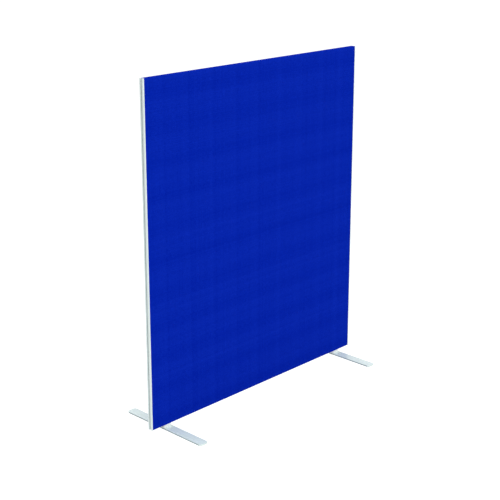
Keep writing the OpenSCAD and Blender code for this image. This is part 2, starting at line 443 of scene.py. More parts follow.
@dataclass(frozen=True)
class MouldedPlastic:
    """Pale satin plastic with faint lines from the die or mould, soft clouds and light scuffs."""

    name: str
    colour: Colour
    worn: Colour
    along: Axis
    line_width: float = 0.5 * MM
    line_depth: float = 0.01 * MM
    line_stretch: float = 0.8
    line_detail: float = 1.0
    clouds: Grain = Grain((9.0, 9.0, 3.0), 4.0, 0.6)
    cloud_tone: Span = Span(0.3, 0.7, 0.0, 0.25)
    scuffs: Grain = Grain((120.0, 120.0, 14.0))
    scuff_tone: Span = Span(0.5, 0.85)
    scuff_share: float = 0.5
    scuff_roughness: float = 0.12
    roughness: Span = Span(0.3, 0.7, 0.38, 0.46)
    gloss: float = 0.4

    def shade(self, on: Shading, colour: Socket) -> Socket:
        """Leaves the colour as it is, on a piece with no channel that gets painted shade."""
        return colour

    def material(self) -> Finish:
        """Builds the material, with its lines along the chosen axis.

        Returns:
            The material.
        """
        on = Shading(self.name)
        scale = self.along.stretched(1 / self.line_width, self.line_stretch)
        lines = on.noise(Grain(scale, self.line_detail))
        scuffs = on.spread(on.noise(self.scuffs), self.scuff_tone)
        clouds = on.spread(on.noise(self.clouds), self.cloud_tone)
        worn = on.total(clouds, on.times(scuffs, self.scuff_share))
        rubbed = on.times(scuffs, self.scuff_roughness)
        return on.surface(
            {
                "Base Color": self.shade(on, on.blend(worn, self.colour, self.worn)),
                "Roughness": on.total(on.spread(lines, self.roughness), rubbed),
                "Specular IOR Level": self.gloss,
                "Normal": on.bump(lines, self.line_depth),
            }
        )


@dataclass(frozen=True, kw_only=True)
class ChannelPlastic(MouldedPlastic):
    """The same plastic on an edge trim, with painted shade down in its linking channel."""

    end_face: float
    mouth_depth: float = 0.4 * MM
    channel_depth: float = 4.1 * MM
    channel_half: float = 6.5 * MM
    wall_blend: float = 0.4 * MM
    # Painted shade: the colour factor at the channel's floor, which darkens the recess.
    channel_painted_shade: float = 0.87

    def shade(self, on: Shading, colour: Socket) -> Socket:
        """Darkens the colour down in the channel with painted shade, darker deeper down.

        Args:
            on: The tree.
            colour: The plain colour.

        Returns:
            The colour with its painted shade.
        """
        out, beside = (on.math("ABSOLUTE", distance) for distance in on.parts(on.place)[:2])
        floor, mouth = self.end_face - self.channel_depth, self.end_face - self.mouth_depth
        past = Span(self.channel_half, self.channel_half + self.wall_blend)
        # down is the painted shade, from the channel's floor up to its mouth.
        down = on.spread(out, Span(floor, mouth, self.channel_painted_shade, 1.0))
        return on.scaled(colour, on.math("MAXIMUM", down, on.spread(beside, past)))


@dataclass(frozen=True)
class SilverCoat:
    """Satin silver paint on a steel bar, scuffed on top, with painted shade on its long sides."""

    foot_middle: float
    foot_half: float
    colour: Colour = linear(222.5, 238.5, 231)
    scuffed: Colour = linear(210, 221, 221)
    # Painted shade: the darker colour of the bar's long sides.
    painted_side_shade: Colour = linear(151, 168, 169)
    painted_side_shade_share: float = 0.9
    flank_start: float = 0.8 * MM
    flank_end: float = 0.1 * MM
    metallic: float = 0.05
    peel: Grain = Grain((700.0, 700.0, 700.0), 1.0)
    peel_depth: float = 0.006 * MM
    flake: Grain = Grain((3500.0, 3500.0, 3500.0), 0.0)
    flake_tone: Span = Span(0.35, 0.65, -0.08, 0.08)
    flake_relief: float = 0.2
    clouds: Grain = Grain((14.0, 14.0, 14.0), 4.0, 0.6)
    cloud_tone: Span = Span(0.3, 0.7, 0.0, 0.3)
    scrapes: Grain = Grain((45.0, 7.0, 45.0))
    scrape_tone: Span = Span(0.5, 0.85)
    scrape_share: float = 0.6
    scrape_roughness: float = 0.12
    roughness: Span = Span(0.3, 0.7, 0.21, 0.28)

    def material(self) -> Finish:
        """Builds the material, with its peel, its flake and its scrapes along the bar.

        Returns:
            The material.
        """
        on = Shading("silver_coat")
        across = on.math("ABSOLUTE", on.parts(on.place)[0])
        from_middle = on.math("ABSOLUTE", on.math("SUBTRACT", across, self.foot_middle))
        start, end = self.foot_half - self.flank_start, self.foot_half - self.flank_end
        # edge is the painted shade on the bar's long sides.
        edge = on.spread(from_middle, Span(start, end, 0.0, self.painted_side_shade_share))
        flake, clouds = on.noise(self.flake), on.noise(self.clouds)
        wear = on.spread(on.noise(self.scrapes), self.scrape_tone)
        tone = on.total(
            on.spread(clouds, self.cloud_tone),
            on.times(wear, self.scrape_share),
            on.spread(flake, self.flake_tone),
        )
        face = on.blend(tone, self.colour, self.scuffed)
        rubbed = on.times(wear, self.scrape_roughness)
        relief = on.total(on.noise(self.peel), on.times(flake, self.flake_relief))
        return on.surface(
            {
                "Base Color": on.blend(edge, face, self.painted_side_shade),
                "Metallic": self.metallic,
                "Roughness": on.total(on.spread(clouds, self.roughness), rubbed),
                "Normal": on.bump(relief, self.peel_depth),
            }
        )


@dataclass(frozen=True)
class PlatedSteel:
    """Plated steel of a fastener, with fine turning marks and stains."""

    name: str
    colour: Colour
    stained: Colour
    turning: Grain = Grain((900.0, 900.0, 6000.0), 1.0)
    turning_depth: float = 0.01 * MM
    stain: Grain = Grain((250.0, 250.0, 250.0), 4.0, 0.6)
    stain_tone: Span = Span(0.35, 0.75)
    roughness: Span = Span(0.3, 0.7, 0.24, 0.42)

    def material(self) -> Finish:
        """Builds the material.

        Returns:
            The material.
        """
        on = Shading(self.name)
        stain = on.noise(self.stain)
        tone = on.spread(stain, self.stain_tone)
        return on.surface(
            {
                "Base Color": on.blend(tone, self.colour, self.stained),
                "Metallic": 1.0,
                "Roughness": on.spread(stain, self.roughness),
                "Normal": on.bump(on.noise(self.turning), self.turning_depth),
            }
        )


@dataclass(frozen=True)
class SawnTimber:
    """Planed wood with its growth rings and pores running along one axis."""

    name: str
    early: Colour
    late: Colour
    along: Axis
    ring: float = 3.5 * MM
    ring_stretch: float = 6.0
    ring_count: float = 1.6
    ring_detail: float = 1.0
    drift: float = 6.0
    drift_length: float = 12.0
    ring_share: float = 0.7
    pore_width: float = 2200.0
    pore_stretch: float = 60.0
    pore_depth: float = 0.08 * MM
    pore_share: float = 0.6
    pore_tone: Span = Span(0.35, 0.7, -0.1, 0.3)
    roughness: Span = Span(0.3, 0.7, 0.55, 0.75)

    def material(self) -> Finish:
        """Builds the material, with its grain along the chosen axis.

        Returns:
            The material.
        """
        on = Shading(self.name)
        scale = self.along.stretched(1 / self.ring, self.ring_stretch)
        drift = on.times(on.noise(Grain(tuple(s / self.drift_length for s in scale))), self.drift)
        waves = on.total(drift, on.noise(Grain(scale, self.ring_detail)))
        rings = on.math("FRACT", on.times(waves, self.ring_count))
        pores = on.noise(Grain(self.along.stretched(self.pore_width, self.pore_stretch)))
        tone = on.total(on.times(rings, self.ring_share), on.spread(pores, self.pore_tone))
        return on.surface(
            {
                "Base Color": on.blend(tone, self.early, self.late),
                "Roughness": on.spread(pores, self.roughness),
                "Normal": on.bump(pores, self.pore_depth, self.pore_share),
            }
        )


@dataclass(frozen=True)
class PressedBoard:
    """Hardboard or honeycomb board: pressed fibres and flecks in two browns."""

    name: str
    colour: Colour
    fleck: Colour
    fibres: Grain = Grain((833.0, 833.0, 833.0), 4.0, 0.7)
    fibre_share: float = 0.5
    fibre_depth: float = 0.1 * MM
    flecks: Grain = Grain((90.0, 90.0, 90.0), 3.0)
    fleck_tone: Span = Span(0.5, 0.7, 0.0, 0.3)
    roughness: Span = Span(0.3, 0.7, 0.7, 0.9)

    def material(self) -> Finish:
        """Builds the material.

        Returns:
            The material.
        """
        on = Shading(self.name)
        fibres = on.noise(self.fibres)
        flecks = on.spread(on.noise(self.flecks), self.fleck_tone)
        tone = on.total(on.times(fibres, self.fibre_share), flecks)
        return on.surface(
            {
                "Base Color": on.blend(tone, self.colour, self.fleck),
                "Roughness": on.spread(fibres, self.roughness),
                "Normal": on.bump(fibres, self.fibre_depth),
            }
        )


class Finishes:
    """Every material of the screen, made once and shared."""

    def __init__(self) -> None:
        """Builds the materials."""
        grey = (linear(229, 241.5, 240), linear(210, 222, 222))
        white = (linear(240, 243, 245), linear(222, 226, 229))
        zinc = (linear(196, 200, 205), linear(150, 155, 162))
        yellow_zinc = (linear(214, 190, 120), linear(176, 150, 92))
        pine = (linear(222, 188, 140), linear(190, 146, 96))
        beech = (linear(222, 176, 134), linear(196, 142, 100))
        hardboard = (linear(128, 90, 60), linear(92, 62, 40))
        core = (linear(186, 152, 112), linear(150, 116, 80))
        self.cloth = WovenCloth(top=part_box("fabric_cover")[1].z).material()
        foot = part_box(Side.RIGHT.node("foot"))
        middle, half = ((foot[1].x + sign * foot[0].x) / 2 for sign in (1, -1))
        self.trim = ChannelPlastic("edge_plastic", *grey, Axis.Z, end_face=CAD_BOX[1].x).material()
        self.spacer = MouldedPlastic("block_plastic", *white, Axis.X).material()
        self.coat = SilverCoat(middle, half).material()
        self.zinc = PlatedSteel("zinc_plate", *zinc).material()
        self.passivated = PlatedSteel("yellow_zinc_plate", *yellow_zinc).material()
        self.upright_pine = SawnTimber("upright_pine", *pine, Axis.Z).material()
        self.cross_pine = SawnTimber("cross_pine", *pine, Axis.X).material()
        self.beech = SawnTimber("turned_beech", *beech, Axis.X, ring=1.5 * MM).material()
        self.hardboard = PressedBoard("hardboard", *hardboard).material()
        self.core = PressedBoard("honeycomb_board", *core).material()


def arc(centre: Point, radius: float, start: float, end: float, steps: int = 6) -> list[Point]:
    """Gives points along an arc.

    Args:
        centre: Its centre.
        radius: Its radius.
        start: First angle, in quarter turns.
        end: Last angle, in quarter turns.
        steps: Number of chords.

    Returns:
        The points, both ends with them.
    """
    turns = (QUARTER * (start + (end - start) * i / steps) for i in range(steps + 1))
    return [(centre[0] + radius * math.cos(t), centre[1] + radius * math.sin(t)) for t in turns]


def rounded(centres: Sequence[Point], radius: float, steps: int) -> list[Point]:
    """Draws a rectangle with round corners.

    Args:
        centres: Centres of its corners, from the one at high x and high y anticlockwise.
        radius: Radius of the corners.
        steps: Number of chords in each corner.

    Returns:
        The outline.
    """
    corners = (arc(centre, radius, i, i + 1, steps) for i, centre in enumerate(centres))
    return [spot for corner in corners for spot in corner]


def mirrored(half: Sequence[Point]) -> list[Point]:
    """Closes half an outline, whose two ends lie on y = 0, with its mirror image."""
    return [*half[1:-1], *((x, -y) for x, y in reversed(half[1:-1]))]


def new_object(name: str, mesh: Mesh, finish: Finish | None = None) -> Piece:
    """Links a new object that holds a mesh.

    Args:
        name: The object's name.
        mesh: The mesh.
        finish: Its material, if it is known yet.

    Returns:
        The object.
    """
    made = bpy.data.objects.new(name, mesh)
    bpy.context.scene.collection.objects.link(made)
    if finish:
        mesh.materials.append(finish)
    return made


def mended(mesh: Mesh, *parts: Mesh, weld: bool = False, outward: bool = False) -> Mesh:
    """Adds parts to a mesh, and then merges its doubles and turns its faces outwards if asked.

    Args:
        mesh: The mesh.
        parts: Meshes to add to it.
        weld: Whether doubles are merged.
        outward: Whether faces are turned outwards.

    Returns:
        The same mesh.
    """
    shape = bmesh.new()
    for part in (mesh, *parts):
        shape.from_mesh(part)
    if weld:
        bmesh.ops.remove_doubles(shape, verts=shape.verts, dist=MERGE)
    if outward:
        bmesh.ops.recalc_face_normals(shape, faces=shape.faces)
    shape.to_mesh(mesh)
    shape.free()
    return mesh


def settle(piece: Piece) -> Piece:
    """Turns a piece with modifiers into a plain mesh, and removes the modifiers.

    Args:
        piece: The piece.

    Returns:
        The same piece.
    """
    bpy.context.view_layer.update()
    graph = bpy.context.evaluated_depsgraph_get()
    final = piece.evaluated_get(graph)
    mesh = bpy.data.meshes.new_from_object(final, preserve_all_data_layers=True, depsgraph=graph)
    piece.modifiers.clear()
    piece.data = mesh
    return piece


def hand_over(piece: Piece, node: str, crease: float) -> Piece:
    """Shades a finished piece smooth and puts it on the body, in the place of its node.

    Args:
        piece: The piece.
        node: The node that it replaces.
        crease: The angle in degrees past which an edge stays sharp.

    Returns:
        The piece.
    """
    piece.data.shade_smooth()
    piece.data.set_sharp_from_angle(angle=math.radians(crease))
    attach(piece, BODY)
    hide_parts(node)
    return piece


class Shell:
    """A closed surface that is made of walls round stacked outlines, and of lids."""

    def __init__(self) -> None:
        """Starts with no points."""
        self.points: list[Place] = []
        self.faces: list[tuple[int, ...]] = []

    def wall(self, levels: Iterable[tuple[Outline, float]]) -> list[range]:
        """Stacks outlines of as many points each, and joins each of them to the next one.

        Args:
            levels: Each outline and its height.

        Returns:
            A ring for each outline: the numbers of its points.
        """
        rings = []
        for outline, z in levels:
            rings.append(range(len(self.points), len(self.points) + len(outline)))
            self.points += [(x, y, z) for x, y in outline]
        for low, high in zip(rings, rings[1:]):
            self.faces += [(low[i], low[i - 1], high[i - 1], high[i]) for i in range(len(low))]
        return rings

    def lid(self, ring: Sequence[int], *holes: Sequence[int]) -> None:
        """Fills a ring, round the rings that lie inside it.

        Args:
            ring: The outer ring.
            holes: The rings inside it.
        """
        numbers = [number for loop in (ring, *holes) for number in loop]
        loops = [[Vector(self.points[number]) for number in loop] for loop in (ring, *holes)]
        self.faces += [tuple(numbers[i] for i in corners) for corners in tessellate_polygon(loops)]

    def mesh(self, name: str) -> Mesh:
        """Makes the mesh, with its doubles merged and its faces turned outwards.

        Args:
            name: The mesh's name.

        Returns:
            The mesh.
        """
        mesh = bpy.data.meshes.new(name)
        mesh.from_pydata(self.points, [], self.faces)
        return mended(mesh, weld=True, outward=True)


class Recipe(Graph):
    """A Geometry Nodes tree with named inputs, made in code."""

    def __init__(self, name: str, sizes: dict[str, float | int]) -> None:
        """Makes the tree and its inputs.

        Args:
            name: The tree's name.
            sizes: Named sizes and counts.
        """
        super().__init__(bpy.data.node_groups.new(name, "GeometryNodeTree"))
        self.tree.is_modifier = True
        self.sizes = sizes
        kinds = {"Geometry": "Geometry", "Finish": "Material"}
        kinds |= {key: "Int" if isinstance(size, int) else "Float" for key, size in sizes.items()}
        sockets = self.tree.interface
        for socket, kind in kinds.items():
            sockets.new_socket(socket, in_out="INPUT", socket_type="NodeSocket" + kind)
        sockets.new_socket("Geometry", in_out="OUTPUT", socket_type="NodeSocketGeometry")
        self.given = self.add("NodeGroupInput").outputs

    def step(self, kind: str, inputs: Settings, **settings: object) -> Socket:
        """Adds a geometry node and gives its first result."""
        return self.add("GeometryNode" + kind, inputs, **settings).outputs[0]

    def joined(self, *parts: Socket) -> Socket:
        """Joins geometry.

        Args:
            parts: The parts.

        Returns:
            All of them as one.
        """
        join = self.add("GeometryNodeJoinGeometry")
        for part in parts:
            self.tree.links.new(part, join.inputs[0])
        return join.outputs[0]

    def moved(self, part: Socket, by: Socket) -> Socket:
        """Moves geometry."""
        return self.step("Transform", {"Geometry": part, "Translation": by})

    def make(self, result: Socket, piece: Piece, finish: Finish) -> Piece:
        """Ends the tree, runs it on an object and keeps the outcome as the object's mesh.

        Args:
            result: The tree's finished geometry.
            piece: The object.
            finish: Its material.

        Returns:
            The same object, as a plain mesh.
        """
        real = self.step("RealizeInstances", {0: result})
        dressed = self.step("SetMaterial", {"Geometry": real, "Material": self.given["Finish"]})
        self.add("NodeGroupOutput", {0: dressed})
        modifier = piece.modifiers.new(self.tree.name, "NODES")
        modifier.node_group = self.tree
        values = {**self.sizes, "Finish": finish}
        for item in self.tree.interface.items_tree:
            if item.in_out == "INPUT" and item.name in values:
                modifier[item.identifier] = values[item.name]
        return settle(piece)


class Column(NamedTuple):
    """A line up the cloth: its turn about Z, its core's X, its depth and its place when flat."""

    turn: float
    x: float
    depth: float
    cut: float


class Row(NamedTuple):
    """A line across the cloth: its turn about X, its core's Y and Z, and its place when flat."""

    turn: float
    y: float
    z: float
    cut: float

    def upright(self) -> bool:
        """Tells whether the row lies on the front or the back face."""
        return math.isclose(abs(math.cos(self.turn)), 1.0)


@dataclass
class ClothCover:
    """One length of cloth, over the panel from hem to hem, and tucked in at both ends."""

    finish: Finish
    thickness: float = 1 * MM
    roll: float = 1.8 * MM
    hem: float = 8 * MM
    tuck: float = 9 * MM
    kerf: float = 5 * MM
    cell: float = 14 * MM
    ripple: float = 0.14 * MM
    ripple_fade: float = 60 * MM
    ripples: Point = (7.0, 5.0)
    ripple_middle: float = 0.5
    roll_steps: int = 5
    ripple_seed: float = 3.0
    crease: float = 60.0

    FLAT_MAP = "flat_cut"
    BOARD = ("front_facing", "rear_facing", "top_rail", "bottom_rail", "left_stile", "right_stile")

    def __post_init__(self) -> None:
        """Reads the cover's box from the frame."""
        self.low, self.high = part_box("fabric_cover")
        self.half_x = self.high.x - self.roll
        self.half_y = self.high.y - self.roll
        self.low_z = self.low.z + self.roll
        self.high_z = self.high.z - self.roll
        self.turns = [QUARTER * i / self.roll_steps for i in range(1, self.roll_steps + 1)]

    def steps(self, start: float, end: float) -> list[float]:
        """Splits a straight run into cells, and gives their ends."""
        count = max(1, round(abs(end - start) / self.cell))
        return [start + (end - start) * i / count for i in range(count + 1)]

    def across(self) -> list[Column]:
        """Follows the cloth from the middle of its width outwards to its tucked edge.

        Returns:
            The columns.
        """
        columns = [Column(0.0, x, 0.0, x) for x in self.steps(0.0, self.half_x)]
        cut = self.half_x
        columns += [Column(turn, self.half_x, 0.0, cut + self.roll * turn) for turn in self.turns]
        cut += self.roll * QUARTER
        lip = self.half_y + self.thickness - self.kerf / 2
        for depth in ((self.roll + lip) / 2, lip):
            columns.append(Column(QUARTER, self.high.x, depth, cut + depth - self.roll))
        cut += lip - self.roll
        for turn in self.turns:
            x = self.half_x + self.roll * math.cos(turn)
            depth = lip + self.roll * math.sin(turn)
            columns.append(Column(QUARTER, x, depth, cut + self.roll * turn))
        cut += self.roll * QUARTER
        for x in (self.high.x - self.tuck / 2, self.high.x - self.tuck):
            columns.append(Column(QUARTER, x, lip + self.roll, cut + self.half_x - x))
        return columns

    def along(self) -> list[Row]:
        """Follows the cloth from its front hem over the top to its back hem.

        Returns:
            The rows.
        """
        y, z = -self.half_y, self.low_z
        cut = z - self.roll * QUARTER
        under = (self.hem - self.high.y, y)
        rows = [Row(-QUARTER, inner, z, cut - inner + y) for inner in under]
        runs = (
            [(y, up) for up in self.steps(z, self.high_z)[1:]],
            [(across, self.high_z) for across in (y / 3, -y / 3, -y)],
            [(-y, down) for down in self.steps(self.high_z, z)[1:]],
            [(self.high.y - self.hem, z)],
        )
        for side, run in enumerate(runs):
            turned = (side - 1) * QUARTER
            rows += [Row(turned + turn, y, z, cut + self.roll * turn) for turn in self.turns]
            cut += self.roll * QUARTER
            rows += [Row(side * QUARTER, *spot, cut + math.dist((y, z), spot)) for spot in run]
            y, z = run[-1]
            cut = rows[-1].cut
        return rows

    def point(self, column: Column, row: Row, sign: int) -> Vector:
        """Places one point of the cloth's outer face.

        Args:
            column: Its column.
            row: Its row.
            sign: The end of the screen, -1 or 1.

        Returns:
            The point.
        """
        back = -math.cos(row.turn)
        if column.depth > 0:
            return Vector((sign * column.x, back * (self.high.y - column.depth), row.z))
        out = math.cos(column.turn)
        normal = Vector((math.sin(column.turn), out * back, out * math.sin(row.turn)))
        spot = Vector((column.x, row.y, row.z)) + self.roll * normal
        if column.turn == 0 and row.upright():
            spot.y += normal.y * self.swell(sign * column.x, row.z, -back)
        return Vector((sign * spot.x, spot.y, spot.z))

    def swell(self, x: float, z: float, face: float) -> float:
        """Gives the slight unevenness of cloth over board, which dies out at the edges.

        Args:
            x: Place along the screen.
            z: Height.
            face: 1 on the front and -1 on the back, which differ.

        Returns:
            Distance outwards.
        """
        from_edge = min(self.half_x - abs(x), z - self.low_z, self.high_z - z)
        fade = min(1.0, max(0.0, from_edge / self.ripple_fade))
        spot = (self.ripples[0] * x, self.ripples[1] * z, self.ripple_seed + face)
        chance = noise.noise(Vector(spot))
        return self.ripple * fade * (chance - self.ripple_middle)

    def sheet(self) -> Mesh:
        """Builds the outer face as one grid, with its flat cut as a UV map.

        Returns:
            The mesh, with no thickness yet.
        """
        half = self.across()
        rows = self.along()
        columns = [(-1, column) for column in reversed(half[1:])] + [(1, column) for column in half]
        points: list[Vector] = []
        flats: list[Point] = []
        index: dict[tuple[int, int], int] = {}
        for i, (sign, column) in enumerate(columns):
            for j, row in enumerate(rows):
                if column.depth == 0 or row.upright():
                    index[i, j] = len(points)
                    points.append(self.point(column, row, sign))
                    flats.append((sign * column.cut, row.cut))
        cells = ((i, j) for i in range(len(columns) - 1) for j in range(len(rows) - 1))
        corners = [((i, j), (i + 1, j), (i + 1, j + 1), (i, j + 1)) for i, j in cells]
        whole = (cell for cell in corners if all(corner in index for corner in cell))
        faces = [[index[corner] for corner in cell] for cell in whole]
        mesh = bpy.data.meshes.new("cloth_cover")
        mesh.from_pydata(points, [], faces)
        cut = mesh.uv_layers.new(name=self.FLAT_MAP)
        for loop in mesh.loops:
            cut.data[loop.index].uv = flats[loop.vertex_index]
        return mended(mesh, weld=True)

    def build(self) -> Piece:
        """Returns:
            The cloth.
        """
        piece = new_object("cloth_cover", self.sheet(), self.finish)
        wall = piece.modifiers.new("wall", "SOLIDIFY")
        wall.thickness = self.thickness
        wall.offset = -1.0
        wall.use_even_offset = True
        settle(piece)
        hand_over(piece, "fabric_cover", self.crease)
        rows = self.along()
        flat = (2 * self.across()[-1].cut, rows[-1].cut - rows[0].cut)
        LOG.info("flat cut %.3f by %.3f m", *flat)
        return piece


@dataclass
class EndPiece:
    """A piece that each end of the screen has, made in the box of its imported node."""

    side: Side
    finish: Finish

    PART: ClassVar[str]

    def __post_init__(self) -> None:
        """Reads the node's box from the frame."""
        self.node = self.side.node(self.PART)
        self.low, self.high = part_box(self.node)


@dataclass
class EdgeTrim(EndPiece):
    """An extruded trim: a cap with an undercut channel between two chambers, and a barbed stem."""

    proud: float = 5.5 * MM
    edge_r: float = 1.5 * MM
    mouth: float = 8 * MM
    channel: float = 13 * MM
    lip: float = 1.5 * MM
    lip_r: float = 0.5 * MM
    floor: float = 1.4 * MM
    wall: float = 1.2 * MM
    fillet: float = 0.35 * MM
    stem: float = 1.4 * MM
    stem_length: float = 11 * MM
    barbs: int = 3
    barb_pitch: float = 3 * MM
    barb_length: float = 2.4 * MM
    barb_reach: float = 1.4 * MM
    barb_tip: float = 0.3 * MM
    setback: float = 10 * MM
    fillet_steps: int = 3
    lip_steps: int = 5
    edge_steps: int = 8
    crease: float = 32.0

    PART = "edge_trim"

    def half_cap(self) -> list[Point]:
        """Draws half the cap, from the middle of the channel's floor round one land to its back.

        Returns:
            The outline, with x outwards from the cloth and y across the panel.
        """
        half = self.high.y
        inner = self.proud - self.lip
        side = self.channel / 2 - self.fillet
        lip = (self.proud - self.lip_r, self.mouth / 2 + self.lip_r)
        edge = (self.proud - self.edge_r, half - self.edge_r)
        return [
            (self.floor, 0.0),
            *arc((self.floor + self.fillet, side), self.fillet, 2, 1, self.fillet_steps),
            *arc((inner - self.fillet, side), self.fillet, 1, 0, self.fillet_steps),
            (inner, self.mouth / 2),
            *arc(lip, self.lip_r, -1, 0, self.lip_steps),
            *arc(edge, self.edge_r, 0, 1, self.edge_steps),
            *arc((self.fillet, half - self.fillet), self.fillet, 1, 2, self.fillet_steps),
            (0.0, 0.0),
        ]

    def chamber(self) -> list[Point]:
        """Draws the hollow chamber beside the channel.

        Returns:
            The outline.
        """
        near, far = self.wall + self.fillet, self.proud - self.wall - self.fillet
        low = self.channel / 2 + self.wall + self.fillet
        high = self.high.y - self.wall - self.fillet
        centres = ((far, high), (near, high), (near, low), (far, low))
        return rounded(centres, self.fillet, self.fillet_steps)

    def half_stem(self) -> list[Point]:
        """Draws half the barbed stem, from its free end to the cap.

        Returns:
            The outline.
        """
        points = [(-self.stem_length, 0.0), (-self.stem_length, self.stem / 2)]
        for i in range(self.barbs):
            end = i * self.barb_pitch - self.stem_length + self.barb_length
            tip = end - self.barb_tip
            points += [(tip, self.barb_reach), (end, self.barb_reach), (end, self.stem / 2)]
        return points + [(0.0, self.stem / 2), (0.0, 0.0)]

    def extruded(self, name: str, loops: Sequence[Outline], setback: float) -> Piece:
        """Fills outlines in their place at this end of the screen and extrudes them upwards.

        Args:
            name: The object's name.
            loops: Closed outlines, holes among them.
            setback: How far the extrusion stops short of each end of the cap.

        Returns:
            The extrusion as an object.
        """
        face = self.side.value * (max(abs(self.low.x), abs(self.high.x)) - self.proud)
        points: list[Place] = []
        edges: list[tuple[int, int]] = []
        for loop in loops:
            first = len(points)
            points += [(face + self.side.value * x, y, 0.0) for x, y in loop]
            edges += [(first + i, first + (i + 1) % len(loop)) for i in range(len(loop))]
        mesh = bpy.data.meshes.new(name)
        mesh.from_pydata(points, edges, [])
        length = self.high.z - self.low.z - 2 * setback
        tree = Recipe("extruded_section", {"Start": self.low.z + setback, "Length": length})
        curve = tree.step("MeshToCurve", {0: tree.given["Geometry"]})
        flat = tree.step("FillCurve", {0: curve})
        rise = {"Offset": tree.vector(z=tree.given["Length"]), "Offset Scale": 1.0}
        walls = tree.step("ExtrudeMesh", {"Mesh": flat, "Individual": False, **rise}, mode="FACES")
        whole = tree.joined(walls, tree.step("FlipFaces", {0: flat}))
        closed = tree.step("MergeByDistance", {0: whole, "Distance": MERGE})
        lifted = tree.moved(closed, tree.vector(z=tree.given["Start"]))
        return tree.make(lifted, new_object(name, mesh), self.finish)

    def build(self) -> Piece:
        """Builds the cap and its stem, and joins them as one piece.

        Returns:
            The trim.
        """
        chamber = self.chamber()
        section = [mirrored(self.half_cap()), chamber, [(x, -y) for x, y in chamber]]
        cap = self.extruded(self.node + "_profile", section, 0.0)
        stem = self.extruded(self.node + "_stem", [mirrored(self.half_stem())], self.setback)
        mended(cap.data, stem.data, outward=True)
        bpy.data.objects.remove(stem)
        return hand_over(cap, self.node, self.crease)


@dataclass
class BarFoot(EndPiece):
    """A flat steel bar with rounded corners, rolled upper edges and two countersunk holes."""

    corner: float = 15 * MM
    corner_steps: int = 12
    roll: float = 1.0 * MM
    roll_steps: int = 5
    base_bevel: float = 0.3 * MM
    crease: float = 40.0
    hole_r: float = 4.3 * MM
    hole_steps: int = 32
    sink_r: float = 8.3 * MM
    sink_rim: float = 0.7 * MM

    PART = "foot"

    def plan(self, inset: float) -> list[Point]:
        """Draws the foot's plan, drawn in by an inset.

        Args:
            inset: Distance inside the full outline.

        Returns:
            The outline.
        """
        right, left = self.high.x - self.corner, self.low.x + self.corner
        back = self.high.y - self.corner
        centres = ((right, back), (left, back), (left, -back), (right, -back))
        return rounded(centres, self.corner - inset, self.corner_steps)

    def levels(self) -> list[Point]:
        """Gives the inset and the height of each outline, from the bottom up.

        Returns:
            The levels.
        """
        axis = (self.roll, self.high.z - self.roll)
        rolled = arc(axis, self.roll, 2, 1, self.roll_steps)
        return [(self.base_bevel, self.low.z), (0.0, self.low.z + self.base_bevel), *rolled]

    def build(self) -> Piece:
        """Builds the foot as one closed shell.

        Returns:
            The foot.
        """
        shell = Shell()
        outer = shell.wall((self.plan(inset), z) for inset, z in self.levels())
        cone_top = self.sink_rim + self.sink_r - self.hole_r
        heights = (self.low.z, self.sink_rim, cone_top, self.high.z)
        radii = (self.sink_r, self.sink_r, self.hole_r, self.hole_r)
        middle = (self.low + self.high).x / 2
        bores = []
        for x in (middle - BOLT_PITCH / 2, middle + BOLT_PITCH / 2):
            rounds = (arc((x, 0.0), radius, 0, 4, self.hole_steps)[:-1] for radius in radii)
            bores.append(shell.wall(zip(rounds, heights)))
        for end in (0, -1):
            shell.lid(outer[end], *(bore[end] for bore in bores))
        name = self.node + "_bar"
        piece = new_object(name, shell.mesh(name), self.finish)
        return hand_over(piece, self.node, self.crease)


@dataclass
class Spacer(EndPiece):
    """A moulded block with round ends and eased edges, between a foot and the panel."""

    bevel: float = 0.8 * MM
    end_steps: int = 16
    crease: float = 35.0

    PART = "spacer"

    def build(self) -> Piece:
        """Builds the block.

        Returns:
            The block.
        """
        low, high = self.low, self.high
        radius = high.y
        sides = [(0.0, low.z + self.bevel), (0.0, high.z - self.bevel)]
        levels = []
        for inset, z in ((self.bevel, low.z), *sides, (self.bevel, high.z)):
            right = arc((high.x - radius, 0.0), radius - inset, -1, 1, self.end_steps)
            left = arc((low.x + radius, 0.0), radius - inset, 1, 3, self.end_steps)
            levels.append((right + left, z))
        shell = Shell()
        rings = shell.wall(levels)
        shell.lid(rings[0])
        shell.lid(rings[-1])
        name = self.node + "_block"
        piece = new_object(name, shell.mesh(name), self.finish)
        return hand_over(piece, self.node, self.crease)


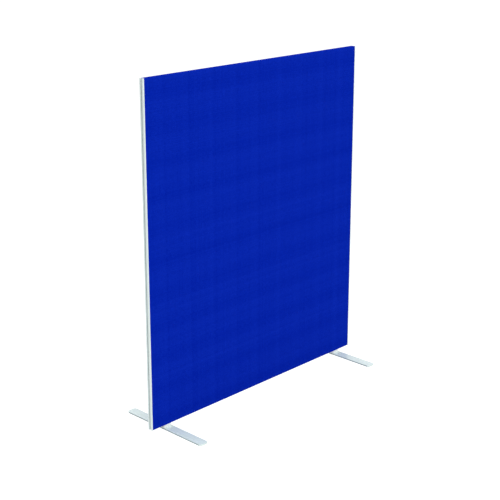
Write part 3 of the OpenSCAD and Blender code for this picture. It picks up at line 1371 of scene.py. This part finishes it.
@dataclass
class SocketBolts:
    """The four countersunk socket bolts that hold the feet, each with a true thread."""

    finish: Finish
    radius: float = 4 * MM
    head_r: float = 8 * MM
    rim: float = 0.4 * MM
    head_bevel: Point = (0.3 * MM, 0.2 * MM)
    socket: float = 5 * MM
    socket_depth: float = 2.6 * MM
    socket_sides: int = 6
    thread_pitch: float = 1.25 * MM
    thread_depth: float = 0.6 * MM
    thread_steps: int = 6
    tip_length: float = 1.5 * MM
    tip_bevel: float = 0.4 * MM
    turn: float = 0.4
    round_steps: int = 36
    crease: float = 40.0

    def __post_init__(self) -> None:
        """Splits a full turn into the steps of a ring."""
        self.turns = [FULL_TURN * i / self.round_steps for i in range(self.round_steps)]

    def ring(self, reaches: Iterable[float]) -> list[Point]:
        """Sets points round the bolt's axis, one for each step, at their own reaches."""
        return [(r * math.cos(turn), r * math.sin(turn)) for turn, r in zip(self.turns, reaches)]

    def turned(self, radius: float, height: float = 0.0, thread: float = 0.0) -> list[Point]:
        """Draws a ring of the bolt, on the flanks of its thread if it has one.

        Args:
            radius: Its radius, at the crest of the thread.
            height: Its height above the start of the thread.
            thread: Depth of the thread.

        Returns:
            The outline.
        """
        start = height / self.thread_pitch
        phases = ((start - i / self.round_steps) % 1.0 for i in range(self.round_steps))
        return self.ring(radius - thread * abs(2 * phase - 1) for phase in phases)

    def hexagon(self) -> list[Point]:
        """Draws the socket, with as many points as a ring.

        Returns:
            The outline.
        """
        side = FULL_TURN / self.socket_sides
        return self.ring(self.socket / 2 / math.cos(turn % side - side / 2) for turn in self.turns)

    def bolt(self) -> Mesh:
        """Builds one bolt about its own axis.

        Returns:
            Its mesh.
        """
        low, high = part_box("foot_bolts")
        cone_top = low.z + self.rim + self.head_r - self.radius
        length = high.z - cone_top - self.tip_length
        count = self.thread_steps * round(length / self.thread_pitch)
        inset, rise = self.head_bevel
        levels = [
            (self.hexagon(), low.z + self.socket_depth),
            (self.hexagon(), low.z),
            (self.turned(self.head_r - inset), low.z),
            (self.turned(self.head_r), low.z + rise),
            (self.turned(self.head_r), low.z + self.rim),
            (self.turned(self.radius), cone_top),
        ]
        for height in (length * i / count for i in range(1, count + 1)):
            flanks = self.turned(self.radius, height, self.thread_depth)
            levels.append((flanks, cone_top + height))
        tip_r = self.radius - self.thread_depth - self.tip_bevel
        shell = Shell()
        rings = shell.wall([*levels, (self.turned(tip_r), high.z)])
        shell.lid(rings[0])
        shell.lid(rings[-1])
        return shell.mesh("foot_bolt")

    def build(self) -> Piece:
        """Sets the four bolts in their holes with a tree that repeats one bolt.

        Returns:
            The bolts as one piece.
        """
        low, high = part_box(Side.RIGHT.node("foot"))
        sizes = {"Foot Span": low.x + high.x, "Bolt Pitch": BOLT_PITCH, "Turn": self.turn}
        tree = Recipe("bolt_pairs", sizes)
        given = tree.given
        bolts = []
        for i, (foot, bolt) in enumerate(product(HALVES, repeat=2)):
            along = (tree.times(given["Foot Span"], foot), tree.times(given["Bolt Pitch"], bolt))
            angle = tree.vector(z=tree.times(given["Turn"], float(i)))
            spun = tree.step("Transform", {"Geometry": given["Geometry"], "Rotation": angle})
            bolts.append(tree.moved(spun, tree.vector(x=tree.total(*along))))
        first = new_object("socket_bolts", self.bolt())
        piece = tree.make(tree.joined(*bolts), first, self.finish)
        return hand_over(piece, "foot_bolts", self.crease)


@dataclass
class HemStaples:
    """Two rows of wire staples that hold the hems on the bottom rail."""

    finish: Finish
    pitch: float = 100 * MM
    crown: float = 10 * MM
    wire: float = 0.6 * MM
    wire_width: float = 1.2 * MM
    bend: float = 0.5 * MM
    bend_steps: int = 4
    crease: float = 35.0

    def centreline(self, base: float, top: float) -> Mesh:
        """Draws the line of one staple's wire, legs and crown.

        Args:
            base: Height of its lower face.
            top: Height of the legs' ends.

        Returns:
            The line.
        """
        half = (self.crown - self.wire) / 2
        low = base + self.wire / 2
        mesh = bpy.data.meshes.new("staple_line")
        points = [(-half, 0.0, top), (-half, 0.0, low), (half, 0.0, low), (half, 0.0, top)]
        mesh.from_pydata(points, [(0, 1), (1, 2), (2, 3)], [])
        return mesh

    def build(self) -> Piece:
        """Bends one staple from its line of wire and repeats it along both hems.

        Returns:
            The staples as one piece.
        """
        low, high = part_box("hem_staples")
        count = round((high.x - low.x - self.crown) / self.pitch) + 1
        spacing = {"Pitch": self.pitch, "Count": count, "Row": high.y - self.wire_width / 2}
        wire = {"Bend": self.bend, "Wire": self.wire, "Width": self.wire_width}
        tree = Recipe("staple_rows", {**spacing, **wire})
        given = tree.given
        line = tree.step("MeshToCurve", {0: given["Geometry"]})
        corners = {"Radius": given["Bend"], "Count": self.bend_steps}
        bent = tree.step("FilletCurve", {"Curve": line, **corners}, mode="POLY")
        outline = {"Width": given["Wire"], "Height": given["Width"]}
        section = tree.step("CurvePrimitiveQuadrilateral", outline)
        sweep = {"Curve": bent, "Profile Curve": section, "Fill Caps": True}
        staple = tree.step("CurveToMesh", sweep)
        gaps = tree.math("SUBTRACT", given["Count"], 1.0)
        start = tree.times(tree.times(gaps, given["Pitch"]), HALVES[0])
        run = {"Start Location": tree.vector(x=start), "Offset": tree.vector(x=given["Pitch"])}
        places = tree.step("MeshLine", {"Count": given["Count"], **run}, mode="OFFSET")
        row = tree.step("InstanceOnPoints", {"Points": places, "Instance": staple})
        shifts = (tree.vector(y=tree.times(given["Row"], side)) for side in (1.0, -1.0))
        rows = tree.joined(*(tree.moved(row, shift) for shift in shifts))
        line_object = new_object("wire_staples", self.centreline(low.z, high.z))
        piece = tree.make(rows, line_object, self.finish)
        return hand_over(piece, "hem_staples", self.crease)


@dataclass
class TimberFrame:
    """The framed board inside the cloth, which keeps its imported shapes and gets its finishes."""

    finishes: Finishes

    def dress(self) -> None:
        """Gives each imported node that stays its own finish."""
        done = self.finishes
        by_finish = {
            done.upright_pine: ("left_stile", "right_stile"),
            done.cross_pine: ("top_rail", "middle_rail", "bottom_rail"),
            done.beech: ("frame_dowels",),
            done.core: ("upper_core", "lower_core"),
            done.hardboard: ("front_facing", "rear_facing"),
            done.passivated: ("threaded_inserts",),
        }
        for finish, names in by_finish.items():
            for name in names:
                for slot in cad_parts[name].material_slots:
                    slot.material = finish
                LOG.info("%s: %s", name, finish.name)


@dataclass(frozen=True)
class Lamp:
    """A square soft lamp, by its place, its width and its power in watts."""

    name: str
    place: Place
    size: float
    power: float


@dataclass
class Studio:
    """Pale floor, soft light and the camera at the photograph's angle."""

    place: Place = (-3.768, -3.566, 2.378)
    azimuth: float = -46.21
    tilt: float = -15.78
    lens: float = 82.0
    shift: float = -0.08
    sky: float = 0.69
    backdrop: float = 1.0
    aim: Place = (0.0, 0.0, 0.8)
    floor_size: float = 120.0
    floor_gap: float = 0.5 * MM
    floor_shown: float = 0.4
    floor_glow: float = 0.84
    floor_bounce: float = 0.64
    lamps: tuple[Lamp, ...] = (
        Lamp("key", (-0.5, -6.0, 3.0), 4.0, 117.0),
        Lamp("rear", (1.0, 6.0, 3.0), 4.0, 70.0),
        Lamp("fill", (-2.6, -0.3, 0.5), 0.9, 4.5),
        Lamp("overhead", (0.0, -0.15, 6.0), 3.0, 190.0),
    )

    def stand(self, data: bpy.types.ID, place: Place, turn: Quaternion) -> Piece:
        """Puts a camera or a lamp in the scene.

        Args:
            data: Its settings, whose name it takes.
            place: Its place.
            turn: Its turn.

        Returns:
            Its object.
        """
        made = bpy.data.objects.new(data.name, data)
        made.location = place
        made.rotation_mode = "QUATERNION"
        made.rotation_quaternion = turn
        bpy.context.scene.collection.objects.link(made)
        return made

    def camera(self) -> None:
        """Places the camera."""
        turn, tilt = math.radians(self.azimuth), math.radians(self.tilt)
        level = math.cos(tilt)
        ahead = Vector((-math.sin(turn) * level, math.cos(turn) * level, math.sin(tilt)))
        data = bpy.data.cameras.new("camera")
        data.lens = self.lens
        data.shift_y = self.shift
        bpy.context.scene.camera = self.stand(data, self.place, ahead.to_track_quat("-Z", "Y"))

    def light(self) -> None:
        """Hangs the lamps, each of which points at the middle of the screen."""
        for lamp in self.lamps:
            data = bpy.data.lights.new(lamp.name, "AREA")
            data.shape = "SQUARE"
            data.size = lamp.size
            data.energy = lamp.power
            turn = (Vector(self.aim) - Vector(lamp.place)).to_track_quat("-Z", "Y")
            self.stand(data, lamp.place, turn)

    def seen(self, on: Graph) -> Socket:
        """Finds the rays that see the background: from the camera, off gloss and through glass.

        Args:
            on: The tree.

        Returns:
            1 for such a ray, 0 for the others.
        """
        rays = on.add("ShaderNodeLightPath").outputs
        straight = on.math("MAXIMUM", rays["Is Camera Ray"], rays["Is Glossy Ray"])
        return on.math("MAXIMUM", straight, rays["Is Transmission Ray"])

    def world(self) -> None:
        """Lights the screen evenly from all round, and shows white behind it."""
        world = bpy.data.worlds.new("studio")
        world.use_nodes = True
        world.node_tree.nodes.clear()
        on = Graph(world.node_tree)
        light, white = (
            on.add("ShaderNodeBackground", {"Color": WHITE, "Strength": strength}).outputs[0]
            for strength in (self.sky, self.backdrop)
        )
        mixed = on.add("ShaderNodeMixShader", {0: self.seen(on), 1: light, 2: white}).outputs[0]
        on.add("ShaderNodeOutputWorld", {"Surface": mixed})
        bpy.context.scene.world = world

    def floor(self) -> None:
        """Lays a plain floor that shows white and keeps the screen's soft shadow."""
        half = self.floor_size / 2
        corners = ((-half, -half), (half, -half), (half, half), (-half, half))
        mesh = bpy.data.meshes.new("studio_floor")
        mesh.from_pydata([(x, y, -self.floor_gap) for x, y in corners], [], [(0, 1, 2, 3)])
        on = Shading("studio_floor")
        shown, bounce = (
            on.add("ShaderNodeBsdfDiffuse", {"Color": (grey, grey, grey, 1.0)}).outputs[0]
            for grey in (self.floor_shown, self.floor_bounce)
        )
        light = {"Color": WHITE, "Strength": self.floor_glow}
        glow = on.add("ShaderNodeEmission", light).outputs[0]
        white = on.add("ShaderNodeAddShader", {0: shown, 1: glow}).outputs[0]
        mixed = on.add("ShaderNodeMixShader", {0: self.seen(on), 1: bounce, 2: white}).outputs[0]
        on.add("ShaderNodeOutputMaterial", {"Surface": mixed})
        new_object("studio_floor", mesh, on.material)

    def build(self) -> None:
        """Sets up the camera, the world, the floor and the lamps."""
        self.camera()
        self.world()
        self.floor()
        self.light()
        bpy.context.scene.view_settings.view_transform = "Standard"


def main() -> None:
    """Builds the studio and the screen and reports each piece."""
    logging.basicConfig(level=logging.INFO, format="%(name)s: %(message)s")
    Studio().build()
    finishes = Finishes()
    TimberFrame(finishes).dress()
    pieces = [ClothCover(finishes.cloth).build()]
    for side in Side:
        pieces.append(EdgeTrim(side, finishes.trim).build())
        pieces.append(BarFoot(side, finishes.coat).build())
        pieces.append(Spacer(side, finishes.spacer).build())
    pieces += [SocketBolts(finishes.zinc).build(), HemStaples(finishes.zinc).build()]
    for piece in pieces:
        LOG.info("%s: %d faces", piece.name, len(piece.data.polygons))


if __name__ == "__main__":
    main()
